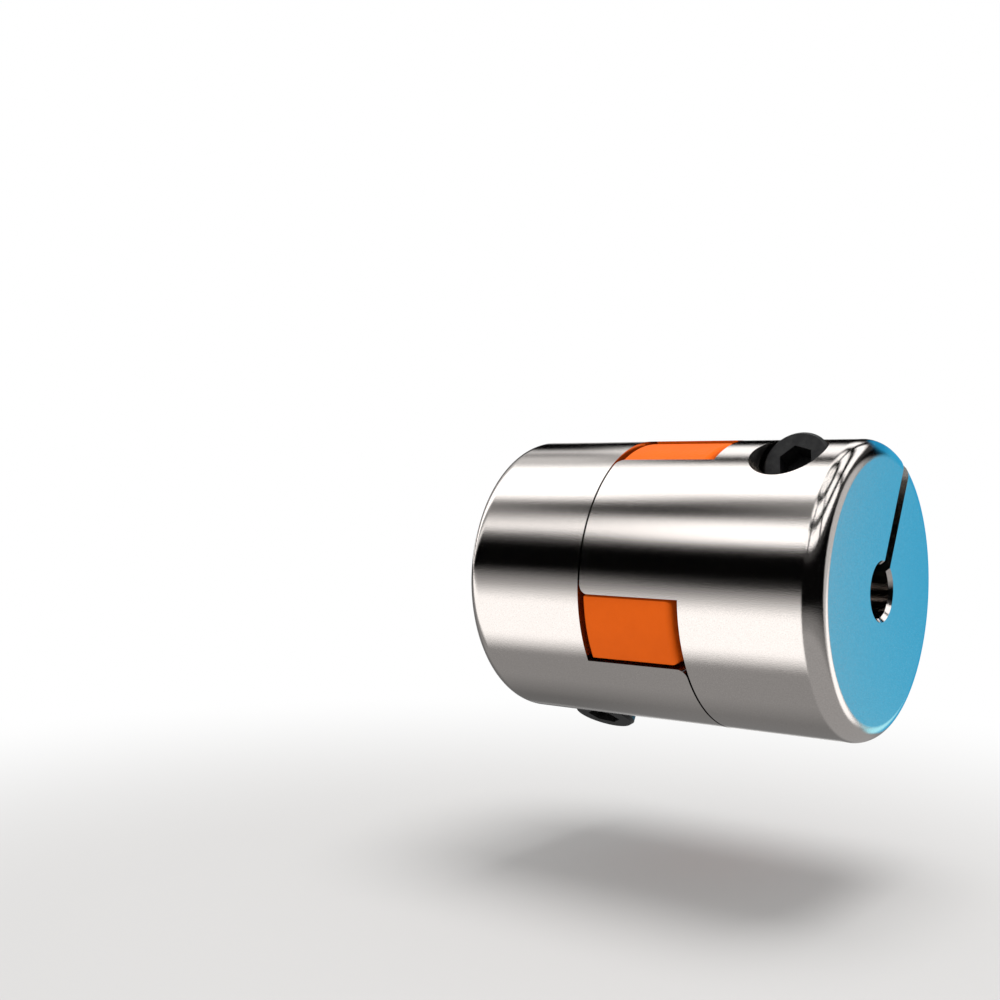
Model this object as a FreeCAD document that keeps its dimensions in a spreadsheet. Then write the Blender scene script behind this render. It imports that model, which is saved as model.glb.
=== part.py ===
import FreeCAD, Part

import math
import os
from enum import IntEnum

import Sketcher

# Flexible shaft coupling: two clamping hubs whose claws mesh through a four-armed elastic star.
# Millimetres and degrees. +X runs along the shafts from the driving to the driven end, and +Z is up.
# The origin is on the shafts' axis, in the plane of the driving hub's clamp screw.
SIZES = (
    ("hub_diameter", 56.0, "outside diameter of both hubs"),
    ("hub_length", 27.0, "hub without its claws, from end face to root face"),
    ("end_rounding", 3.6, "rounding round each end face"),
    ("driving_bore", 19.0, "bore for the thick shaft"),
    ("driven_bore", 10.0, "bore for the thin shaft"),
    ("bore_chamfer", 0.7, "chamfer at the mouth of each bore"),
    ("window_length", 21.2, "from one hub's root face to the other's"),
    ("tip_gap", 0.4, "from a claw's tip to the other hub's root face"),
    ("claw_inner_diameter", 28.0, "inside diameter of the claws"),
    ("claw_corner_radius", 1.7, "rounded corner between a claw's flank and its tip"),
    ("arm_width", 13.6, "thickest part of a star arm"),
    ("arm_crown_radius", 31.5, "radius of the crowned arm flanks"),
    ("arm_crown_station", 20.5, "distance from the axis to the thickest part"),
    ("flank_gap", 0.7, "between an arm and a claw"),
    ("arm_recess", 0.55, "how far the arms stay under the hubs' surface"),
    ("driving_end_gap", 0.85, "between the star and the driving hub's root face"),
    ("driven_end_gap", 1.85, "between the star and the driven hub's root face"),
    ("arm_chamfer", 0.4, "outer edges at both ends of an arm"),
    ("core_gap", 0.5, "between the star's core and the claws"),
    ("core_bore", 20.0, "hole through the star's core"),
    ("slit_width", 3.0, "clamp slit"),
    ("clamp_station", 13.5, "from a hub's end face to its clamp screw"),
    ("clamp_offset", 17.0, "from the shafts' axis to a clamp screw"),
    ("driving_seat", 16.9, "from the slit's middle up to the seat of the driving screw's head"),
    ("driven_seat", 10.5, "from the slit's middle up to the seat of the driven screw's head"),
    ("driving_screw_length", 30.0, "driving screw, under its head"),
    ("driven_screw_length", 25.0, "driven screw, under its head"),
    ("screw_diameter", 8.0, "over the thread"),
    ("screw_tip_chamfer", 1.0, "at a screw's tip"),
    ("head_diameter", 13.0, "screw head"),
    ("head_height", 8.0, "screw head"),
    ("head_chamfer", 0.6, "top edge of a screw head"),
    ("socket_width", 6.0, "hexagon socket, across its flats"),
    ("socket_depth", 4.0, "hexagon socket"),
    ("head_clearance", 0.5, "round a screw head in its pocket"),
    ("head_play", 0.05, "between a screw head and its seat, so that the screw is free to turn"),
    ("shank_clearance", 0.5, "round a screw, between its seat and the slit"),
    ("thread_clearance", 0.1, "round a screw in its thread, which is left plain"),
    ("tip_clearance", 1.5, "under a screw's tip"),
    ("coupling_roll", 29.0, "how far the driven screw points above the horizontal"),
    ("driving_socket_turn", 44.0, "turn of the driving screw's hexagon"),
    ("driven_socket_turn", 44.0, "turn of the driven screw's hexagon"),
)
CLAWS_PER_HUB = 2
STAR_ARMS = 2 * CLAWS_PER_HUB
HEXAGON_CORNERS = 6
FULL_TURN = 360.0
HALF_TURN = 180.0
QUARTER_TURN = 90.0
# A claw and the star arm beside it are this far apart round the axis.
ARM_PITCH = HALF_TURN / STAR_ARMS
# How far a cut runs past the outside of its piece, so that it leaves no skin.
OVERRUN = 5.0
TOLERANCE = 1e-4

ORIGIN = FreeCAD.Vector(0, 0, 0)
AXIS_X = FreeCAD.Vector(1, 0, 0)
AXIS_Z = FreeCAD.Vector(0, 0, 1)


class Point(IntEnum):
    """Sketcher's numbers for the points of a curve."""

    START = 1
    END = 2
    CENTRE = 3


class Axis(IntEnum):
    """Sketcher's numbers for a sketch's own axes."""

    HORIZONTAL = -1
    VERTICAL = -2


# A sketch's origin is where its horizontal axis starts.
SKETCH_ORIGIN = (Axis.HORIZONTAL, Point.START)

HUB_RADIUS = "sizes.hub_diameter / 2"
CLAW_INNER_RADIUS = "sizes.claw_inner_diameter / 2"
CLAW_LENGTH = "(sizes.window_length - sizes.tip_gap)"
ARM_LENGTH = "(sizes.window_length - sizes.driving_end_gap - sizes.driven_end_gap)"
# An arm's crowned flank is an arc about a point on the arm's far side, this far from its middle line.
CROWN_CENTRE_DROP = "(sizes.arm_crown_radius - sizes.arm_width / 2)"


def fill_sheet(document):
    """Put the driving dimensions in a spreadsheet, one aliased cell each."""
    sheet = document.addObject("Spreadsheet::Sheet", "sizes")
    for row, (alias, value, meaning) in enumerate(SIZES, start=1):
        sheet.set(f"A{row}", meaning)
        sheet.set(f"B{row}", str(value))
        sheet.setAlias(f"B{row}", alias)
    document.recompute()
    return sheet


def origin_feature(body, role):
    """A body's own origin plane or axis."""
    return next(feature for feature in body.Origin.OriginFeatures if feature.Role == role)


def add_sketch(body, name, role, **offsets):
    """A sketch on one of the body's origin planes, moved along x, y or z by formulas over the sheet."""
    sketch = body.newObject("Sketcher::SketchObject", name)
    sketch.AttachmentSupport = [(origin_feature(body, role), "")]
    sketch.MapMode = "FlatFace"
    for direction, formula in offsets.items():
        sketch.setExpression(f"AttachmentOffset.Base.{direction}", formula)
    return sketch


def constrain(sketch, kind, *references, formula):
    """A dimension of a sketch, tied to a formula over the sheet."""
    number = sketch.addConstraint(Sketcher.Constraint(kind, *references, sketch.evalExpression(formula)))
    name = f"size_{number}"
    sketch.renameConstraint(number, name)
    sketch.setExpression(f"Constraints.{name}", formula)


def fix_point(sketch, curve, point, across, up):
    """Fix a curve's point by its two distances from the sketch's origin; "0" puts it on an axis."""
    if across == "0":
        sketch.addConstraint(Sketcher.Constraint("PointOnObject", curve, point, Axis.VERTICAL))
    else:
        constrain(sketch, "DistanceX", *SKETCH_ORIGIN, curve, point, formula=across)
    if up == "0":
        sketch.addConstraint(Sketcher.Constraint("PointOnObject", curve, point, Axis.HORIZONTAL))
    else:
        constrain(sketch, "DistanceY", *SKETCH_ORIGIN, curve, point, formula=up)


def add_outline(sketch, corners):
    """A closed outline of straight lines through corners that are (across, up) formulas."""
    points = [FreeCAD.Vector(*map(sketch.evalExpression, corner), 0) for corner in corners]
    lines = [
        sketch.addGeometry(Part.LineSegment(first, second), False)
        for first, second in zip(points, points[1:] + points[:1])
    ]
    for line, following in zip(lines, lines[1:] + lines[:1]):
        join(sketch, line, Point.END, following, Point.START)
    for line, corner in zip(lines, corners):
        fix_point(sketch, line, Point.START, *corner)


def add_circle(sketch, radius):
    """A circle about the sketch's origin."""
    circle = sketch.addGeometry(Part.Circle(ORIGIN, AXIS_Z, sketch.evalExpression(radius)), False)
    fix_point(sketch, circle, Point.CENTRE, "0", "0")
    constrain(sketch, "Radius", circle, formula=radius)


def add_arc(sketch, centre, radius, first, last):
    """An arc from one point counter-clockwise to another, its centre and radius tied to formulas."""
    middle = FreeCAD.Vector(*map(sketch.evalExpression, centre), 0)
    start, stop = (math.atan2(point.y - middle.y, point.x - middle.x) for point in (first, last))
    circle = Part.Circle(middle, AXIS_Z, sketch.evalExpression(radius))
    arc = sketch.addGeometry(Part.ArcOfCircle(circle, start, stop), False)
    fix_point(sketch, arc, Point.CENTRE, *centre)
    constrain(sketch, "Radius", arc, formula=radius)
    return arc


def join(sketch, curve, point, other_curve, other_point):
    """Make two curves of a sketch meet."""
    sketch.addConstraint(Sketcher.Constraint("Coincident", curve, point, other_curve, other_point))


def meeting_point(sketch, centre, radius, axis_radius, side):
    """Where a circle meets one about the origin: side is 1 counter-clockwise of its centre, or -1."""
    across, up = map(sketch.evalExpression, centre)
    own, about_axis = sketch.evalExpression(radius), sketch.evalExpression(axis_radius)
    distance = math.hypot(across, up)
    opening = math.acos((about_axis**2 + distance**2 - own**2) / (2 * about_axis * distance))
    angle = math.atan2(up, across) + side * opening
    return FreeCAD.Vector(about_axis * math.cos(angle), about_axis * math.sin(angle), 0)


def add_feature(body, kind, name, **settings):
    """A feature of a body. A formula over the sheet, written as text, sets a size of it."""
    feature = body.newObject(f"PartDesign::{kind}", name)
    for key, setting in settings.items():
        if isinstance(setting, str) and "sizes." in setting:
            feature.setExpression(key, setting)
        else:
            setattr(feature, key, setting)
    body.Document.recompute()
    return feature


def repeat_round_axis(body, name, feature, count):
    """Copy a feature round the body's X axis."""
    pattern = add_feature(
        body,
        "PolarPattern",
        name,
        Originals=[feature],
        Axis=(origin_feature(body, "X_Axis"), [""]),
        Angle=FULL_TURN,
        Occurrences=count,
    )
    body.Tip = pattern
    body.Document.recompute()
    return pattern


def edges_where(feature, is_wanted):
    """A feature and the names of its edges that pass a test, as a dress-up feature takes them."""
    edges = enumerate(feature.Shape.Edges, start=1)
    return (feature, [f"Edge{index}" for index, edge in edges if is_wanted(edge)])


def is_round_edge(edge, direction, station, radius):
    """Is this an arc about an axis through the origin, at a station along it and with a radius?"""
    curve = edge.Curve
    if not isinstance(curve, Part.Circle) or abs(curve.Radius - radius) > TOLERANCE:
        return False
    return (curve.Center - direction * station).Length < TOLERANCE


def new_body(document, name):
    """An empty body that carries the sub-part's name."""
    body = document.addObject("PartDesign::Body", name)
    body.Label = name
    return body


def claw_flank(side):
    """The centre of a claw's hollow flank in its sketch: side is 1 above the claw, -1 below."""
    station = f"sizes.arm_crown_station * cos({ARM_PITCH})"
    across = f"{station} - {CROWN_CENTRE_DROP} * sin({ARM_PITCH})"
    up = f"sizes.arm_crown_station * sin({ARM_PITCH}) + {CROWN_CENTRE_DROP} * cos({ARM_PITCH})"
    return (across, f"{side} * ({up})")


def draw_claw(sketch):
    """A claw's section: two arcs about the axis, and two hollow flanks that follow the star's arms."""
    flank_radius = "sizes.arm_crown_radius + sizes.flank_gap"
    above, below = claw_flank(1), claw_flank(-1)
    outer_above = meeting_point(sketch, above, flank_radius, HUB_RADIUS, -1)
    inner_above = meeting_point(sketch, above, flank_radius, CLAW_INNER_RADIUS, -1)
    outer_below = meeting_point(sketch, below, flank_radius, HUB_RADIUS, 1)
    inner_below = meeting_point(sketch, below, flank_radius, CLAW_INNER_RADIUS, 1)
    outer = add_arc(sketch, ("0", "0"), HUB_RADIUS, outer_below, outer_above)
    upper = add_arc(sketch, above, flank_radius, inner_above, outer_above)
    inner = add_arc(sketch, ("0", "0"), CLAW_INNER_RADIUS, inner_below, inner_above)
    lower = add_arc(sketch, below, flank_radius, outer_below, inner_below)
    join(sketch, outer, Point.END, upper, Point.END)
    join(sketch, upper, Point.START, inner, Point.END)
    join(sketch, inner, Point.START, lower, Point.END)
    join(sketch, lower, Point.START, outer, Point.START)


def make_hub(document, name, end):
    """A clamping hub: +X from its end face to its claws, +Y up its screw, +Z out along its slit.

    The end, driving or driven, names the sizes that differ between the two.
    """
    body = new_body(document, name)
    bore_radius = f"sizes.{end}_bore / 2"

    profile = add_sketch(body, f"{name}_blank_profile", "XY_Plane")
    root = "sizes.hub_length"
    add_outline(profile, [("0", bore_radius), (root, bore_radius), (root, HUB_RADIUS), ("0", HUB_RADIUS)])
    axis = (profile, ["H_Axis"])
    blank = add_feature(body, "Revolution", f"{name}_blank", Profile=profile, ReferenceAxis=axis)
    hub_radius = blank.evalExpression(HUB_RADIUS)
    mouth_radius = blank.evalExpression(bore_radius)
    rim = edges_where(blank, lambda edge: is_round_edge(edge, AXIS_X, 0, hub_radius))
    rounded = add_feature(body, "Fillet", f"{name}_end_rounding", Base=rim, Radius="sizes.end_rounding")
    mouth = edges_where(rounded, lambda edge: is_round_edge(edge, AXIS_X, 0, mouth_radius))
    add_feature(body, "Chamfer", f"{name}_bore_chamfer", Base=mouth, Size="sizes.bore_chamfer")

    claw_profile = add_sketch(body, f"{name}_claw_profile", "YZ_Plane", z="sizes.hub_length")
    draw_claw(claw_profile)
    claw = add_feature(body, "Pad", f"{name}_claw", Profile=claw_profile, Length=CLAW_LENGTH)
    claws = repeat_round_axis(body, f"{name}_claws", claw, CLAWS_PER_HUB)
    tip = claws.evalExpression(f"sizes.hub_length + {CLAW_LENGTH}")
    flank_radius = claws.evalExpression("sizes.arm_crown_radius + sizes.flank_gap")
    corners = edges_where(
        claws,
        lambda edge: isinstance(edge.Curve, Part.Circle)
        and abs(edge.Curve.Radius - flank_radius) < TOLERANCE
        and abs(edge.CenterOfMass.x - tip) < TOLERANCE,
    )
    add_feature(body, "Fillet", f"{name}_claw_corners", Base=corners, Radius="sizes.claw_corner_radius")

    slit_profile = add_sketch(body, f"{name}_slit_profile", "YZ_Plane")
    side, outside = "sizes.slit_width / 2", f"{HUB_RADIUS} + {OVERRUN}"
    add_outline(slit_profile, [(f"-{side}", "0"), (side, "0"), (side, outside), (f"-{side}", outside)])
    reach = "sizes.hub_length + sizes.window_length"
    add_feature(body, "Pocket", f"{name}_slit", Profile=slit_profile, Length=reach, Reversed=True)

    seat = f"sizes.{end}_seat"
    head_radius = "sizes.head_diameter / 2 + sizes.head_clearance"
    shank_radius = "sizes.screw_diameter / 2 + sizes.shank_clearance"
    thread_radius = "sizes.screw_diameter / 2 + sizes.thread_clearance"
    bottom = f"{seat} - sizes.{end}_screw_length - sizes.tip_clearance"
    place = {"x": "sizes.clamp_station", "z": "sizes.clamp_offset"}
    hole_profile = add_sketch(body, f"{name}_screw_hole_profile", "XY_Plane", **place)
    add_outline(
        hole_profile,
        [
            ("0", bottom),
            (thread_radius, bottom),
            (thread_radius, "0"),
            (shank_radius, "0"),
            (shank_radius, seat),
            (head_radius, seat),
            (head_radius, outside),
            ("0", outside),
        ],
    )
    axis = (hole_profile, ["V_Axis"])
    add_feature(body, "Groove", f"{name}_screw_hole", Profile=hole_profile, ReferenceAxis=axis)
    return body


def draw_arm(sketch):
    """A star arm's section, along the sketch's X axis: round end, crowned flanks, root in the core."""
    radius = "sizes.arm_crown_radius"
    end_radius = f"{HUB_RADIUS} - sizes.arm_recess"
    root = "sizes.core_bore / 2"
    upper_centre = ("sizes.arm_crown_station", f"-{CROWN_CENTRE_DROP}")
    lower_centre = ("sizes.arm_crown_station", CROWN_CENTRE_DROP)
    end_above = meeting_point(sketch, upper_centre, radius, end_radius, 1)
    end_below = meeting_point(sketch, lower_centre, radius, end_radius, -1)
    rise = f"sqrt({radius} ^ 2 - (sizes.arm_crown_station - {root}) ^ 2) - {CROWN_CENTRE_DROP}"
    root_across, root_rise = map(sketch.evalExpression, (root, rise))
    root_above = FreeCAD.Vector(root_across, root_rise, 0)
    root_below = FreeCAD.Vector(root_across, -root_rise, 0)
    end = add_arc(sketch, ("0", "0"), end_radius, end_below, end_above)
    upper = add_arc(sketch, upper_centre, radius, end_above, root_above)
    lower = add_arc(sketch, lower_centre, radius, root_below, end_below)
    closing = sketch.addGeometry(Part.LineSegment(root_above, root_below), False)
    sketch.addConstraint(Sketcher.Constraint("Vertical", closing))
    constrain(sketch, "DistanceX", *SKETCH_ORIGIN, closing, Point.START, formula=root)
    join(sketch, end, Point.END, upper, Point.START)
    join(sketch, upper, Point.END, closing, Point.START)
    join(sketch, closing, Point.END, lower, Point.START)
    join(sketch, lower, Point.END, end, Point.START)


def make_star(document, name):
    """The elastic star: a bored core and four arms, +X along the shafts from its driving face."""
    body = new_body(document, name)

    core_profile = add_sketch(body, f"{name}_core_profile", "YZ_Plane")
    add_circle(core_profile, f"{CLAW_INNER_RADIUS} - sizes.core_gap")
    add_feature(body, "Pad", f"{name}_core", Profile=core_profile, Length=ARM_LENGTH)

    arm_profile = add_sketch(body, f"{name}_arm_profile", "YZ_Plane")
    draw_arm(arm_profile)
    arm = add_feature(body, "Pad", f"{name}_arm", Profile=arm_profile, Length=ARM_LENGTH)
    arms = repeat_round_axis(body, f"{name}_arms", arm, STAR_ARMS)

    end_radius = arms.evalExpression(f"{HUB_RADIUS} - sizes.arm_recess")
    stations = (0, arms.evalExpression(ARM_LENGTH))
    rims = edges_where(
        arms, lambda edge: any(is_round_edge(edge, AXIS_X, station, end_radius) for station in stations)
    )
    add_feature(body, "Chamfer", f"{name}_arm_edges", Base=rims, Size="sizes.arm_chamfer")

    bore_profile = add_sketch(body, f"{name}_bore_profile", "YZ_Plane")
    add_circle(bore_profile, "sizes.core_bore / 2")
    add_feature(body, "Pocket", f"{name}_bore", Profile=bore_profile, Length=ARM_LENGTH, Reversed=True)
    return body


def make_clamp_screw(document, name, end):
    """A socket head cap screw: +Z out of its head, with the origin where its axis meets the seat."""
    body = new_body(document, name)
    shank_radius, head_radius = "sizes.screw_diameter / 2", "sizes.head_diameter / 2"
    tip, chamfer = f"-sizes.{end}_screw_length", "sizes.screw_tip_chamfer"

    profile = add_sketch(body, f"{name}_profile", "XZ_Plane")
    add_outline(
        profile,
        [
            ("0", tip),
            (f"{shank_radius} - {chamfer}", tip),
            (shank_radius, f"{tip} + {chamfer}"),
            (shank_radius, "0"),
            (head_radius, "0"),
            (head_radius, "sizes.head_height"),
            ("0", "sizes.head_height"),
        ],
    )
    axis = (profile, ["V_Axis"])
    blank = add_feature(body, "Revolution", f"{name}_blank", Profile=profile, ReferenceAxis=axis)
    radius, top = blank.evalExpression(head_radius), blank.evalExpression("sizes.head_height")
    rim = edges_where(blank, lambda edge: is_round_edge(edge, AXIS_Z, top, radius))
    add_feature(body, "Chamfer", f"{name}_head_edge", Base=rim, Size="sizes.head_chamfer")

    socket_profile = add_sketch(body, f"{name}_socket_profile", "XY_Plane", z="sizes.head_height")
    corner_radius = f"sizes.socket_width / 2 / cos({HALF_TURN / HEXAGON_CORNERS})"
    turns = [FULL_TURN * corner / HEXAGON_CORNERS for corner in range(HEXAGON_CORNERS)]
    corners = [(f"{corner_radius} * cos({turn})", f"{corner_radius} * sin({turn})") for turn in turns]
    add_outline(socket_profile, corners)
    add_feature(body, "Pocket", f"{name}_socket", Profile=socket_profile, Length="sizes.socket_depth")
    return body


def rotation(axis, angle):
    """A turn about an axis through the origin, as a placement."""
    return FreeCAD.Placement(ORIGIN, FreeCAD.Rotation(axis, angle))


def shift(across=0, along=0, up=0):
    """A move without a turn, as a placement."""
    return FreeCAD.Placement(FreeCAD.Vector(across, along, up), FreeCAD.Rotation())


def assemble(sheet, driving_hub, driven_hub, star, driving_screw, driven_screw):
    """Put every sub-part in its place. The driven hub stands end for end, a quarter turn round."""
    station, roll = sheet.clamp_station, sheet.coupling_roll
    overall = 2 * sheet.hub_length + sheet.window_length
    driving_turn = rotation(AXIS_X, FULL_TURN - QUARTER_TURN - roll)
    driving_hub.Placement = shift(-station) * driving_turn
    end_for_end = rotation(AXIS_Z, HALF_TURN)
    driven_hub.Placement = shift(overall - station) * rotation(AXIS_X, -roll) * end_for_end
    star_face = sheet.hub_length + sheet.driving_end_gap - station
    star.Placement = shift(star_face) * driving_turn * rotation(AXIS_X, ARM_PITCH)
    for hub, screw, seat, socket_turn in (
        (driving_hub, driving_screw, sheet.driving_seat, sheet.driving_socket_turn),
        (driven_hub, driven_screw, sheet.driven_seat, sheet.driven_socket_turn),
    ):
        under_head = shift(station, seat + sheet.head_play, sheet.clamp_offset)
        on_seat = under_head * rotation(AXIS_X, -QUARTER_TURN)
        screw.Placement = hub.Placement * on_seat * rotation(AXIS_Z, socket_turn)


def check(document, bodies):
    """Stop unless every object is sound, every cut has cut and every sub-part is one valid solid."""
    for item in document.Objects:
        if {"Invalid", "Error"} & set(item.State):
            raise RuntimeError(f"{item.Label} failed: {item.State}")
        if item.isDerivedFrom("Sketcher::SketchObject") and not item.FullyConstrained:
            raise RuntimeError(f"{item.Label} isn't fully constrained")
        if item.TypeId in ("PartDesign::Pocket", "PartDesign::Groove"):
            if item.Shape.Volume > item.BaseFeature.Shape.Volume - TOLERANCE:
                raise RuntimeError(f"{item.Label} cuts nothing")
    for body in bodies:
        if body.Shape.isNull() or not body.Shape.isValid() or len(body.Shape.Solids) != 1:
            raise RuntimeError(f"{body.Label} isn't one valid solid")


def main():
    document = FreeCAD.newDocument("flexible_shaft_coupling")
    sheet = fill_sheet(document)
    driving_hub = make_hub(document, "driving_hub", "driving")
    driven_hub = make_hub(document, "driven_hub", "driven")
    star = make_star(document, "elastomer_star")
    driving_screw = make_clamp_screw(document, "driving_clamp_screw", "driving")
    driven_screw = make_clamp_screw(document, "driven_clamp_screw", "driven")
    bodies = (driving_hub, driven_hub, star, driving_screw, driven_screw)
    assemble(sheet, *bodies)
    document.recompute()
    check(document, bodies)
    os.makedirs("parts", exist_ok=True)
    for body in bodies:
        body.Shape.exportStep(f"parts/{body.Label}.step")
        print(f"{body.Label}: {body.Shape.Volume:.0f} mm3, {len(body.Shape.Faces)} faces")


main()
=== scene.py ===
"""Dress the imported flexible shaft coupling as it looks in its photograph.

Two clamping hubs of ground steel mesh through an orange elastomer star, and a black socket head
cap screw clamps each hub on its shaft. Everything is in metres, in the frame's own axes: +X runs
along the shafts from the driving to the driven end, and +Z is up.
"""

import logging
import math
from collections.abc import Callable
from dataclasses import dataclass
from enum import Enum

import bpy
from mathutils import Matrix, Vector


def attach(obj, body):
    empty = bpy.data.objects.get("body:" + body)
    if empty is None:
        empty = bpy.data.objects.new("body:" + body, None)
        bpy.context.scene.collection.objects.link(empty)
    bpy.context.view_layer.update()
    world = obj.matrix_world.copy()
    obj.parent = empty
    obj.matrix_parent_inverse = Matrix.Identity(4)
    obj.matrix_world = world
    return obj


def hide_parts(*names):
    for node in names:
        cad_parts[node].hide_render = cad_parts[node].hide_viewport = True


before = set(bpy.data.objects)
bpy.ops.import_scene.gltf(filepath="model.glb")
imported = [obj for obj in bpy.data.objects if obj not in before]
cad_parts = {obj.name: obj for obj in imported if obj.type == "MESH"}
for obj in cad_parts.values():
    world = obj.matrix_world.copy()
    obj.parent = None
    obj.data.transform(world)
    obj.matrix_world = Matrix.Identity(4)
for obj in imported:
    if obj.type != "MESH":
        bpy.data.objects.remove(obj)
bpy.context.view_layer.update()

LOG = logging.getLogger("coupling")

Colour = tuple[float, float, float, float]
Socket = bpy.types.NodeSocket
Tree = bpy.types.NodeTree

MM = 0.001
WHITE = (1.0, 1.0, 1.0, 1.0)
BLACK = (0.0, 0.0, 0.0, 1.0)
QUARTER_TURN = math.pi / 2
# Points nearer than NEAR are one, and a tool runs PAST what it cuts, so that it leaves no skin.
NEAR = 0.01 * MM
PAST = 1 * MM
# How many sides stand for a round, from the large ones that show down to the hidden ones.
OUTSIDE_SIDES = 512
ROUND_SIDES = 256
SCREW_SIDES = 160
HIDDEN_SIDES = 128
DRILL_SIDES = 96
HEXAGON_SIDES = 6
# Degrees from the middle of a hexagon's flat to its corner.
HALF_FLAT = 30.0
# Faces that meet at more degrees than this keep a sharp edge.
SHARP_ANGLE = 28.0


def linear(hex_colour: str) -> Colour:
    """Turn an sRGB colour into the linear one that Blender's sockets take.

    Args:
        hex_colour: Six hex digits after a hash sign.

    Returns:
        Red, green, blue and an alpha of 1.
    """
    channels = [int(hex_colour[place : place + 2], 16) / 255 for place in (1, 3, 5)]
    return (*(c / 12.92 if c <= 0.04045 else ((c + 0.055) / 1.055) ** 2.4 for c in channels), 1.0)


def add_node(
    tree: Tree, kind: str, inputs: dict | None = None, **settings: object
) -> bpy.types.Node:
    """Add a node, give it its settings, and fill or link its inputs.

    Args:
        tree: The node tree that takes it.
        kind: Blender's name for the kind of node.
        inputs: By name or number, a value for an input, or the output that feeds it.
        settings: The node's own settings.

    Returns:
        The new node.
    """
    node = tree.nodes.new(kind)
    for name, value in settings.items():
        setattr(node, name, value)
    for name, value in (inputs or {}).items():
        if isinstance(value, Socket):
            tree.links.new(value, node.inputs[name])
        else:
            node.inputs[name].default_value = value
    return node


def work_out(tree: Tree, operation: str, *values: Socket | float) -> Socket:
    """Work a number out of one or two others, by Blender's name for the operation."""
    return add_node(tree, "ShaderNodeMath", dict(enumerate(values)), operation=operation).outputs[0]


def mix_shaders(tree: Tree, share: Socket, one: Socket, other: Socket) -> Socket:
    """Mix two shaders by the share of the other."""
    return add_node(tree, "ShaderNodeMixShader", {0: share, 1: one, 2: other}).outputs[0]


class MaterialMaker:
    """A node-based material in the making: patterns on the object's own coordinates feed it."""

    def __init__(self, name: str) -> None:
        """Start an empty material.

        Args:
            name: The material's name.
        """
        self.material = bpy.data.materials.new(name)
        self.material.use_nodes = True
        self.tree = self.material.node_tree
        self.tree.nodes.clear()
        self.place = add_node(self.tree, "ShaderNodeTexCoord").outputs["Object"]

    def grain(self, size: float, detail: float = 2.0) -> Socket:
        """Add a random grain.

        Args:
            size: The real distance from one grain to the next.
            detail: How many finer layers it has.

        Returns:
            The output that holds it, from 0 to 1.
        """
        inputs = {"Vector": self.place, "Scale": 1 / size, "Detail": detail}
        return add_node(self.tree, "ShaderNodeTexNoise", inputs).outputs["Fac"]

    def shade(
        self, grain: Socket, colours: tuple[str, str], limits: tuple[float, float]
    ) -> Socket:
        """Run from one colour to another along a grain.

        Args:
            grain: The output that holds the grain.
            colours: Both sRGB colours.
            limits: Where in the grain the run starts and ends.

        Returns:
            The output that holds the colour.
        """
        ramp = add_node(self.tree, "ShaderNodeValToRGB", {"Fac": grain})
        for stop, spot, colour in zip(ramp.color_ramp.elements, limits, colours):
            stop.position, stop.color = spot, linear(colour)
        return ramp.outputs["Color"]

    def vary(self, grain: Socket, middle: float, spread: float) -> Socket:
        """Vary a value by a spread to both sides of its middle along a grain."""
        inputs = {"Value": grain, "To Min": middle - spread, "To Max": middle + spread}
        return add_node(self.tree, "ShaderNodeMapRange", inputs).outputs["Result"]

    def bump(self, grain: Socket, strength: float, depth: float) -> Socket:
        """Tilt the surface as a grain of a real depth does."""
        inputs = {"Height": grain, "Strength": strength, "Distance": depth}
        return add_node(self.tree, "ShaderNodeBump", inputs).outputs["Normal"]

    def finish(self, inputs: dict) -> bpy.types.Material:
        """Feed the shader and join it to the output.

        Args:
            inputs: The shader's inputs, by name.

        Returns:
            The finished material.
        """
        shader = add_node(self.tree, "ShaderNodeBsdfPrincipled", inputs).outputs["BSDF"]
        add_node(self.tree, "ShaderNodeOutputMaterial", {"Surface": shader})
        return self.material


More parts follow.
